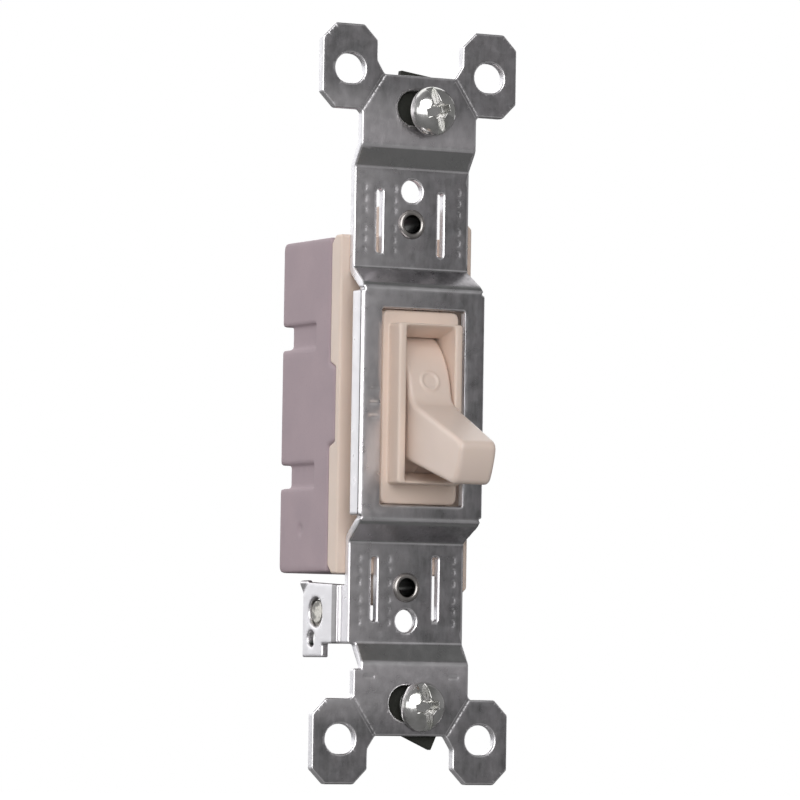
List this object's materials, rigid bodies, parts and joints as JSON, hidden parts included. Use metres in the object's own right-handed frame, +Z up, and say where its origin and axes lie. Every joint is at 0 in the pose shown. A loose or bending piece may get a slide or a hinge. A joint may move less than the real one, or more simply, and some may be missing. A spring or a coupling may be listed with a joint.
{
  "type": "toggle wall switch",
  "caption": "Single-pole toggle wall switch on a steel mounting strap with plaster ears, side-wired housing, captive mounting screws and a bent grounding tab.",
  "frame": {"origin": "midway between the mounting slots and between the ears, on the back face of the ears, which is the plane of the wall", "axes": "+X right seen from the front, +Y back into the wall box, +Z up along the strap"},
  "size_m": [0.0308, 0.0397, 0.106],
  "materials": {
    "strap_steel": "galvanised, satin, slightly mottled",
    "cover_plastic": "light almond, moulded, satin",
    "base_plastic": "mauve-grey moulded thermoset, matte",
    "toggle_plastic": "light almond, smooth",
    "spring_steel": "bright drawn wire",
    "brass": "stamped, satin",
    "contact_silver": "silver alloy, satin",
    "brass_screw": "plated, bright",
    "green_screw": "green dyed zinc plate",
    "screw_steel": "bright zinc plate",
    "fibre": "vulcanised fibre sheet, matte",
    "eyelet_steel": "plated, rolled over"
  },
  "bodies": {
    "housing": {"strap": "strap_steel", "cover": "cover_plastic", "base": "base_plastic", "line_terminal": "brass", "load_terminal": "brass", "fixed_contact": "contact_silver", "arm_pivot_pin": "spring_steel", "retaining_washer_top": "fibre", "retaining_washer_bottom": "fibre", "eyelet_top": "eyelet_steel", "eyelet_bottom": "eyelet_steel"},
    "toggle": {"toggle": "toggle_plastic"},
    "spring": {"toggle_spring": "spring_steel"},
    "contact_arm": {"contact_arm": "brass", "moving_contact": "contact_silver"},
    "mounting_screw_top": {"mounting_screw_top": "screw_steel"},
    "mounting_screw_bottom": {"mounting_screw_bottom": "screw_steel"},
    "terminal_screw_upper": {"terminal_screw_upper": "brass_screw"},
    "terminal_screw_lower": {"terminal_screw_lower": "brass_screw"},
    "ground_screw": {"ground_screw": "green_screw"}
  },
  "joints": [
    {"name": "toggle_throw", "type": "hinge", "parent": "housing", "child": "toggle", "pos_m": [0, 0.0059, 0], "axis": [-1, 0, 0], "range_deg": [0, 39.2]},
    {"name": "spring_swing", "type": "hinge", "parent": "housing", "child": "spring", "pos_m": [0, 0.0121, 0], "axis": [-1, 0, 0], "range_deg": [-19.2, 0]},
    {"name": "contact_rock", "type": "hinge", "parent": "housing", "child": "contact_arm", "pos_m": [0, 0.0152, 0], "axis": [-1, 0, 0], "range_deg": [0, 20.2]},
    {"name": "mounting_screw_top_turn", "type": "hinge", "parent": "housing", "child": "mounting_screw_top", "pos_m": [0.0012, 0, 0.04122], "axis": [0, 1, 0], "continuous": true},
    {"name": "mounting_screw_bottom_turn", "type": "hinge", "parent": "housing", "child": "mounting_screw_bottom", "pos_m": [0.0016, 0, -0.04212], "axis": [0, 1, 0], "continuous": true},
    {"name": "terminal_screw_upper_out", "type": "slide", "parent": "housing", "child": "terminal_screw_upper", "axis": [1, 0, 0], "range_m": [0, 0.0035]},
    {"name": "terminal_screw_lower_out", "type": "slide", "parent": "housing", "child": "terminal_screw_lower", "axis": [1, 0, 0], "range_m": [0, 0.0035]},
    {"name": "ground_screw_in", "type": "slide", "parent": "housing", "child": "ground_screw", "axis": [-1, 0, 0], "range_m": [0, 0.0022]}
  ],
  "couplings": [
    {"joint": "contact_rock", "follows": "toggle_throw", "ratio": 0.5102},
    {"joint": "spring_swing", "follows": "toggle_throw", "ratio": -0.4796}
  ]
}
